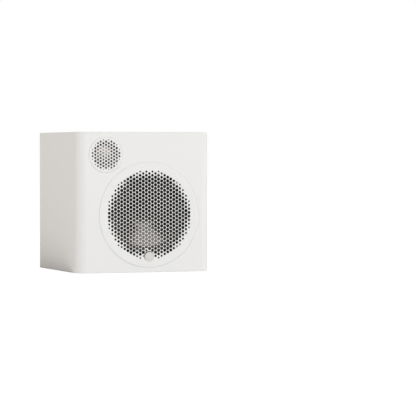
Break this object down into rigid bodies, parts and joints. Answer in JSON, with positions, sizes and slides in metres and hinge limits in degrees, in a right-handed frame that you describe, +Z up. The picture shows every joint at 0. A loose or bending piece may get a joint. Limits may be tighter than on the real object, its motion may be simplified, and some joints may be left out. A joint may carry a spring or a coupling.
{
  "type": "bookshelf speaker",
  "caption": "Compact two-way loudspeaker: square lacquered cabinet with rounded front edges, perforated round grilles over woofer and offset tweeter, rear port and binding posts.",
  "frame": {"origin": "bottom centre of the whole object's box, on the surface it stands on", "axes": "+Z up, -Y out of the front with the grilles, +X to the right as seen from the front"},
  "size_m": [0.2, 0.1914, 0.2],
  "materials": {
    "white_lacquer": "satin white lacquer on MDF",
    "grille_paint": "satin white paint on perforated steel",
    "badge_metal": "fine turned",
    "black_steel": "black powder coat",
    "zinc": "zinc plated",
    "ferrite": "sintered, matt",
    "black_rubber": "matt",
    "grey_rubber": "satin, coated",
    "cone_pulp": "coated black pulp with a low sheen",
    "spider_cloth": "resin-stiffened weave",
    "copper": "enamelled copper wire",
    "dome_metal": "satin anodised",
    "grey_plastic": "fine moulded texture",
    "black_plastic": "fine moulded texture",
    "red_plastic": "clear-tinted, glossy",
    "gilt_brass": "gold plated",
    "board_laminate": "glass-fibre board",
    "film_sleeve": "yellow polyester film",
    "ceramic_cement": "cast cement",
    "grey_foam": "open-cell foam",
    "lead_sheath": "satin flexible sheath"
  },
  "bodies": {
    "cabinet": {"front_baffle": "white_lacquer", "left_side_panel": "white_lacquer", "right_side_panel": "white_lacquer", "top_panel": "white_lacquer", "bottom_panel": "white_lacquer", "rear_panel": "white_lacquer", "woofer_grille": "grille_paint", "tweeter_grille": "grille_paint", "badge": "badge_metal", "woofer_basket": "black_steel", "woofer_top_plate": "zinc", "woofer_yoke": "zinc", "woofer_screw_1": "zinc", "woofer_screw_2": "zinc", "woofer_screw_3": "zinc", "woofer_screw_4": "zinc", "tweeter_screw_1": "zinc", "tweeter_screw_2": "zinc", "tweeter_screw_3": "zinc", "terminal_screw_1": "zinc", "terminal_screw_2": "zinc", "terminal_screw_3": "zinc", "terminal_screw_4": "zinc", "tweeter_pot": "zinc", "tweeter_magnet": "zinc", "tweeter_pole_plate": "zinc", "red_post_nut": "zinc", "black_post_nut": "zinc", "woofer_magnet": "ferrite", "woofer_gasket": "black_rubber", "woofer_surround": "black_rubber", "tweeter_surround": "grey_rubber", "woofer_spider": "spider_cloth", "woofer_inductor": "copper", "tweeter_inductor": "copper", "tweeter_faceplate": "grey_plastic", "port_tube": "black_plastic", "terminal_cup": "black_plastic", "woofer_capacitor": "black_plastic", "red_post_stud": "gilt_brass", "black_post_stud": "gilt_brass", "woofer_terminal_strip": "board_laminate", "tweeter_terminal_board": "board_laminate", "crossover_board": "board_laminate", "tweeter_capacitor": "film_sleeve", "crossover_resistor": "ceramic_cement", "crossover_foam_mount": "grey_foam", "damping_pad": "grey_foam", "input_lead": "lead_sheath", "woofer_lead": "lead_sheath", "tweeter_lead": "lead_sheath"},
    "woofer_cone_assembly": {"woofer_cone": "cone_pulp", "woofer_dust_cap": "cone_pulp", "woofer_voice_coil": "copper"},
    "tweeter_dome_assembly": {"tweeter_dome": "dome_metal", "tweeter_voice_coil": "copper"},
    "red_washer": {"red_post_washer": "gilt_brass"},
    "red_cap": {"red_post_cap": "red_plastic"},
    "black_washer": {"black_post_washer": "gilt_brass"},
    "black_cap": {"black_post_cap": "black_plastic"}
  },
  "joints": [
    {"name": "woofer_cone_slide", "type": "slide", "parent": "cabinet", "child": "woofer_cone_assembly", "axis": [0, -1, 0], "range_m": [-0.0035, 0.0035], "stiffness_N_per_m": 1200, "deforming": ["woofer_surround", "woofer_spider"]},
    {"name": "tweeter_dome_slide", "type": "slide", "parent": "cabinet", "child": "tweeter_dome_assembly", "axis": [0, -1, 0], "range_m": [-0.0004, 0.0004], "stiffness_N_per_m": 4000, "deforming": ["tweeter_surround"]},
    {"name": "red_washer_slide", "type": "slide", "parent": "cabinet", "child": "red_washer", "axis": [0, 1, 0], "range_m": [0, 0.006]},
    {"name": "red_cap_turn", "type": "hinge", "parent": "red_washer", "child": "red_cap", "pos_m": [0.0095, 0.0704, 0.046], "axis": [0, 1, 0], "range_deg": [0, 2160]},
    {"name": "black_washer_slide", "type": "slide", "parent": "cabinet", "child": "black_washer", "axis": [0, 1, 0], "range_m": [0, 0.006]},
    {"name": "black_cap_turn", "type": "hinge", "parent": "black_washer", "child": "black_cap", "pos_m": [-0.0095, 0.0704, 0.046], "axis": [0, 1, 0], "range_deg": [0, 2160]}
  ],
  "couplings": [
    {"joint": "red_cap_turn", "follows": "red_washer_slide", "rad_per_m": 6283},
    {"joint": "black_cap_turn", "follows": "black_washer_slide", "rad_per_m": 6283}
  ]
}
